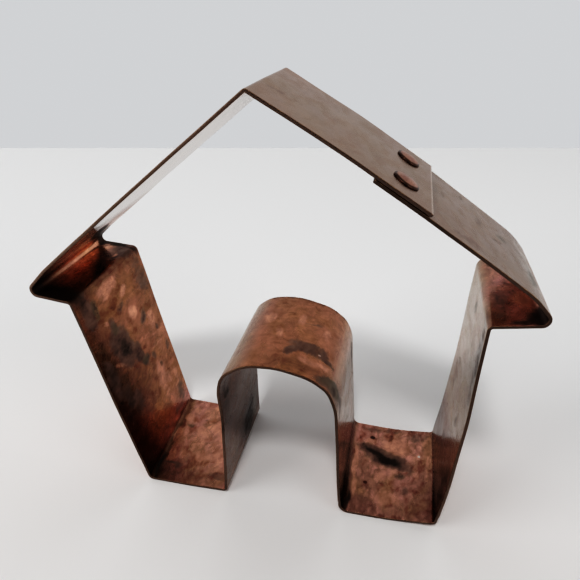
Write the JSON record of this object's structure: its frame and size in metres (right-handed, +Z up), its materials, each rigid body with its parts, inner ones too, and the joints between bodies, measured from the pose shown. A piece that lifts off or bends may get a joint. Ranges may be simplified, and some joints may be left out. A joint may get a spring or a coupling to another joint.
{
  "type": "cookie cutter",
  "caption": "House-shaped cookie cutter with an arched doorway, bent from one copper strip whose overlapping ends are riveted on the roof slope.",
  "frame": {"origin": "on the standing surface, under the middle of the bounding box, with the cutter standing on its two feet", "axes": "+X across the house from the left eave to the right eave, +Y through the cutter along the strip's width, +Z up towards the roof ridge"},
  "size_m": [0.087, 0.0254, 0.0794],
  "materials": {
    "aged_copper": "aged copper sheet, brown and mottled outside the bright patches, satin",
    "rivet_copper": "aged copper, reddish brown, satin"
  },
  "bodies": {
    "root": {"cutter_strip": "aged_copper", "rivet_front": "rivet_copper", "rivet_rear": "rivet_copper"}
  },
  "joints": []
}
